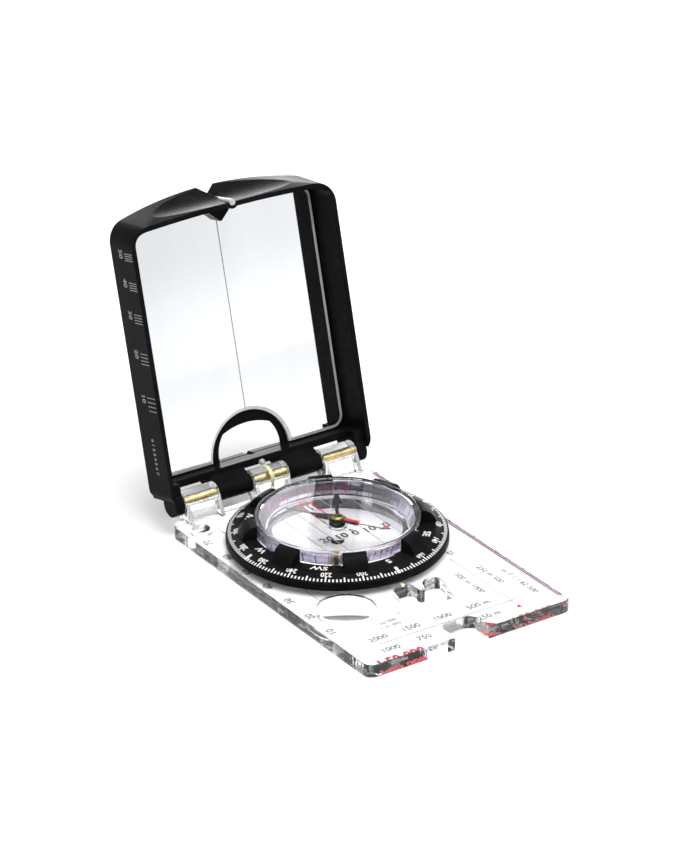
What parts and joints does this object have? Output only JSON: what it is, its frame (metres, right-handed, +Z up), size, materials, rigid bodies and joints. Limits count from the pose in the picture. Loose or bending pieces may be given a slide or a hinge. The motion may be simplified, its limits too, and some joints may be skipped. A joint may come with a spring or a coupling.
{
  "type": "sighting compass",
  "caption": "Clear-baseplate sighting compass: hinged mirror lid, turning graduated dial, capsule with needle, magnifier and lanyard slot.",
  "frame": {"origin": "on the dial's turning axis, in the plane of the underside that rests on a map", "axes": "+X right, +Y along the direction of travel from the dial toward the hinge, +Z up out of the dial face"},
  "size_m": [0.065, 0.1266, 0.0857],
  "materials": {
    "clear_acrylic": "clear moulded acrylic, polished faces",
    "lens_clear": "clear polished acrylic",
    "brass_pin": "satin drawn brass",
    "luminous": "pale yellow-green luminous paint",
    "black_plastic": "fine satin moulded plastic",
    "mirror_glass": "polished mirror with ground edge",
    "sight_white": "off-white plastic",
    "dial_black": "satin moulded plastic with white graduations",
    "capsule_clear": "clear polished acrylic",
    "seal_rubber": "matte rubber",
    "scale_smoke": "smoke-tinted translucent plastic",
    "pivot_steel": "polished hardened steel",
    "red_print": "red printing ink",
    "pointer_black": "black enamel",
    "needle_black": "black enamel",
    "magnet_steel": "dark hardened steel",
    "cap_brass": "dull brass",
    "jewel": "polished red jewel",
    "needle_white": "white luminous paint"
  },
  "bodies": {
    "base": {"baseplate": "clear_acrylic", "magnifier_lens": "lens_clear", "hinge_pin": "brass_pin", "front_index": "luminous", "rear_index": "luminous"},
    "lid": {"lid_cover": "black_plastic", "mirror": "mirror_glass", "upper_sight": "sight_white", "lower_sight": "sight_white"},
    "dial": {"dial_ring": "dial_black", "retaining_ring": "black_plastic", "capsule_base": "capsule_clear", "capsule_seal": "seal_rubber", "capsule_cover": "capsule_clear", "scale_ring": "scale_smoke", "pivot_post": "capsule_clear", "pivot_pin": "pivot_steel"},
    "orienting": {"orienting_plate": "capsule_clear", "orienting_lines": "red_print", "north_marks": "luminous"},
    "declination_screw": {"declination_screw": "brass_pin"},
    "clinometer": {"clinometer_pointer": "pointer_black"},
    "needle": {"needle_blade": "needle_black", "needle_magnet": "magnet_steel", "needle_hub": "needle_black", "needle_cap": "cap_brass", "needle_jewel": "jewel", "needle_north": "red_print", "needle_lume": "needle_white"}
  },
  "joints": [
    {"name": "lid_hinge", "type": "hinge", "parent": "base", "child": "lid", "pos_m": [0, 0.03504, 0.00813], "axis": [-1, 0, 0], "range_deg": [-104, 58]},
    {"name": "dial_turn", "type": "hinge", "parent": "base", "child": "dial", "pos_m": [0, 0, 0.004], "axis": [0, 0, 1], "continuous": true},
    {"name": "declination", "type": "hinge", "parent": "dial", "child": "orienting", "pos_m": [0, 0, 0.0069], "axis": [0, 0, 1], "range_deg": [-20, 20]},
    {"name": "declination_screw_turn", "type": "hinge", "parent": "dial", "child": "declination_screw", "pos_m": [-0.0113, -0.01644, 0.007], "axis": [0, 0, 1], "range_deg": [-330, 330]},
    {"name": "clinometer_swing", "type": "hinge", "parent": "dial", "child": "clinometer", "pos_m": [0, 0, 0.00835], "axis": [0, 0, 1], "continuous": true},
    {"name": "needle_turn", "type": "hinge", "parent": "dial", "child": "needle", "pos_m": [0, 0, 0.0098], "axis": [0, 0, 1], "continuous": true}
  ],
  "couplings": [
    {"joint": "declination_screw_turn", "follows": "declination", "ratio": -15.625}
  ]
}
